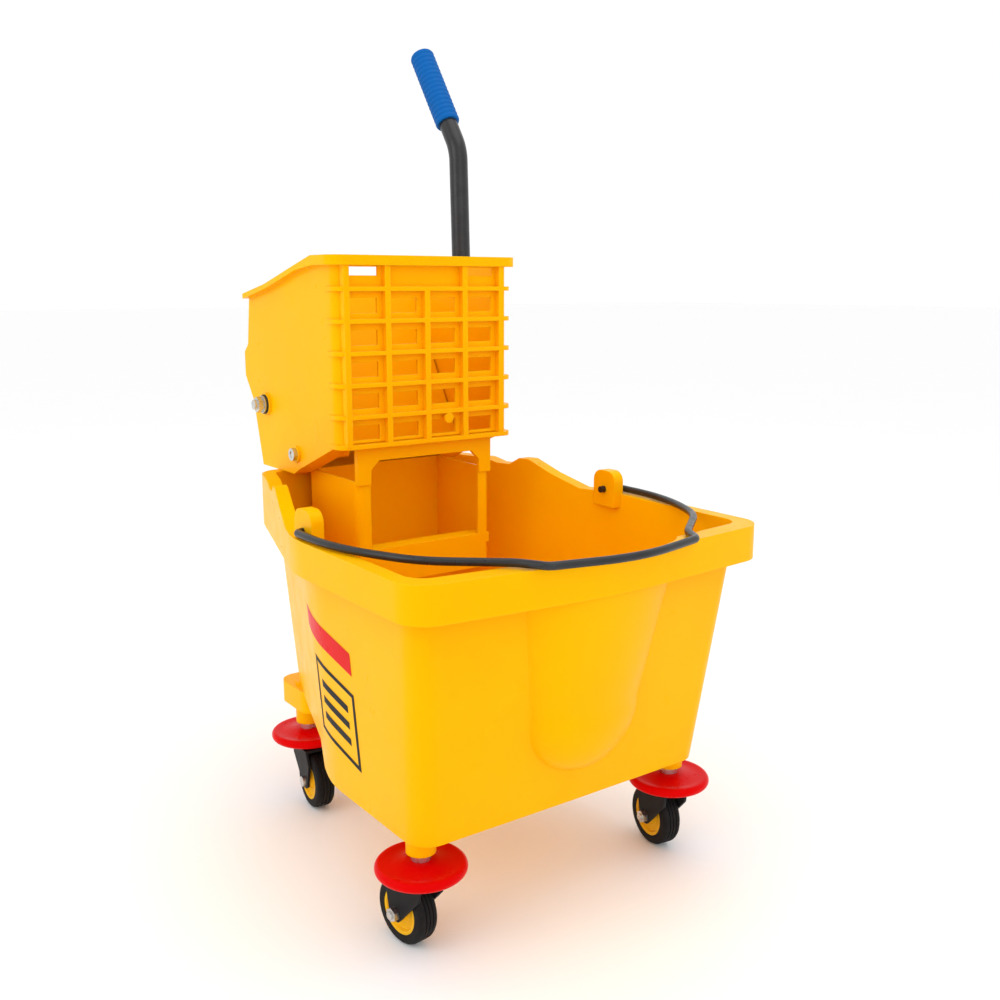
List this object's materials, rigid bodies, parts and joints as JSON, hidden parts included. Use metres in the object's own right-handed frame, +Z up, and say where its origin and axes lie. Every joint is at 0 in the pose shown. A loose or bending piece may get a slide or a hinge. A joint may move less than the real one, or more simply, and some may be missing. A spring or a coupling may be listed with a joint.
{
  "type": "mop bucket with side-press wringer",
  "caption": "Wheeled mop bucket with pour spout, carrying bail, swivel casters with bumper discs and a lift-off side-press wringer worked by a cranked hand lever.",
  "frame": {"origin": "floor level under the middle of the object's box", "axes": "+Z up, the spout end faces -Y, the lever is on the +X side"},
  "size_m": [0.442, 0.6214, 0.954],
  "materials": {
    "yellow_plastic": "satin moulded",
    "wringer_plastic": "satin moulded",
    "black_wire": "satin",
    "zinc_steel": "zinc plated",
    "bush_plastic": "matte",
    "black_steel": "satin powder coat",
    "blue_grip": "soft matte",
    "spring_steel": "plain",
    "red_plastic": "satin moulded",
    "fork_plastic": "satin",
    "tyre_rubber": "matte",
    "wheel_yellow": "satin"
  },
  "bodies": {
    "bucket": {"tub": "yellow_plastic", "socket_front_left": "bush_plastic", "stem_front_left": "zinc_steel", "bumper_front_left": "red_plastic", "socket_front_right": "bush_plastic", "stem_front_right": "zinc_steel", "bumper_front_right": "red_plastic", "socket_rear_left": "bush_plastic", "stem_rear_left": "zinc_steel", "bumper_rear_left": "red_plastic", "socket_rear_right": "bush_plastic", "stem_rear_right": "zinc_steel", "bumper_rear_right": "red_plastic"},
    "bail": {"bail": "black_wire"},
    "swivel_front_left": {"fork_front_left": "fork_plastic", "axle_bolt_front_left": "zinc_steel", "axle_nut_front_left": "zinc_steel"},
    "wheel_front_left": {"tyre_front_left": "tyre_rubber", "hub_front_left": "wheel_yellow"},
    "swivel_front_right": {"fork_front_right": "fork_plastic", "axle_bolt_front_right": "zinc_steel", "axle_nut_front_right": "zinc_steel"},
    "wheel_front_right": {"tyre_front_right": "tyre_rubber", "hub_front_right": "wheel_yellow"},
    "swivel_rear_left": {"fork_rear_left": "fork_plastic", "axle_bolt_rear_left": "zinc_steel", "axle_nut_rear_left": "zinc_steel"},
    "wheel_rear_left": {"tyre_rear_left": "tyre_rubber", "hub_rear_left": "wheel_yellow"},
    "swivel_rear_right": {"fork_rear_right": "fork_plastic", "axle_bolt_rear_right": "zinc_steel", "axle_nut_rear_right": "zinc_steel"},
    "wheel_rear_right": {"tyre_rear_right": "tyre_rubber", "hub_rear_right": "wheel_yellow"},
    "wringer": {"wringer_shell": "wringer_plastic", "shaft_bush_left": "bush_plastic", "shaft_bush_right": "bush_plastic", "hinge_rod": "zinc_steel", "hinge_cap_left": "zinc_steel", "hinge_cap_right": "zinc_steel"},
    "lever": {"cross_shaft": "zinc_steel", "cam_arm_left": "black_steel", "cam_arm_right": "black_steel", "lever_socket": "black_steel", "lever_tube": "black_steel", "grip": "blue_grip", "shaft_washer_left": "zinc_steel", "shaft_washer_right": "zinc_steel", "shaft_nut_left": "zinc_steel", "shaft_nut_right": "zinc_steel", "return_spring": "spring_steel"},
    "press": {"press_plate": "wringer_plastic"}
  },
  "joints": [
    {"name": "bail_swing", "type": "hinge", "parent": "bucket", "child": "bail", "pos_m": [0, -0.035, 0.401], "axis": [-1, 0, 0], "range_deg": [0, 100]},
    {"name": "swivel_front_left", "type": "hinge", "parent": "bucket", "child": "swivel_front_left", "pos_m": [-0.167, -0.187, 0.08], "axis": [0, 0, 1], "continuous": true},
    {"name": "roll_front_left", "type": "hinge", "parent": "swivel_front_left", "child": "wheel_front_left", "pos_m": [-0.16991, -0.16519, 0.035], "axis": [0.9912, 0.1323, 0], "continuous": true},
    {"name": "swivel_front_right", "type": "hinge", "parent": "bucket", "child": "swivel_front_right", "pos_m": [0.167, -0.187, 0.08], "axis": [0, 0, 1], "continuous": true},
    {"name": "roll_front_right", "type": "hinge", "parent": "swivel_front_right", "child": "wheel_front_right", "pos_m": [0.17006, -0.16521, 0.035], "axis": [0.9903, -0.1392, 0], "continuous": true},
    {"name": "swivel_rear_left", "type": "hinge", "parent": "bucket", "child": "swivel_rear_left", "pos_m": [-0.111, 0.174, 0.08], "axis": [0, 0, 1], "continuous": true},
    {"name": "roll_rear_left", "type": "hinge", "parent": "swivel_rear_left", "child": "wheel_rear_left", "pos_m": [-0.11292, 0.15208, 0.035], "axis": [-0.9962, 0.0872, 0], "continuous": true},
    {"name": "swivel_rear_right", "type": "hinge", "parent": "bucket", "child": "swivel_rear_right", "pos_m": [0.111, 0.174, 0.08], "axis": [0, 0, 1], "continuous": true},
    {"name": "roll_rear_right", "type": "hinge", "parent": "swivel_rear_right", "child": "wheel_rear_right", "pos_m": [0.1133, 0.15212, 0.035], "axis": [-0.9945, -0.1045, 0], "continuous": true},
    {"name": "wringer_lift", "type": "slide", "parent": "bucket", "child": "wringer", "axis": [0, 0, 1], "range_m": [0, 0.15]},
    {"name": "lever_press", "type": "hinge", "parent": "wringer", "child": "lever", "pos_m": [0, 0.248, 0.5], "axis": [1, 0, 0], "range_deg": [0, 79], "stiffness_Nm_per_rad": 1.5, "springref_deg": -17.19},
    {"name": "plate_swing", "type": "hinge", "parent": "wringer", "child": "press", "pos_m": [0, 0.166, 0.447], "axis": [1, 0, 0], "range_deg": [0, 42]}
  ],
  "couplings": [
    {"joint": "plate_swing", "follows": "lever_press", "ratio": 0.53165}
  ]
}
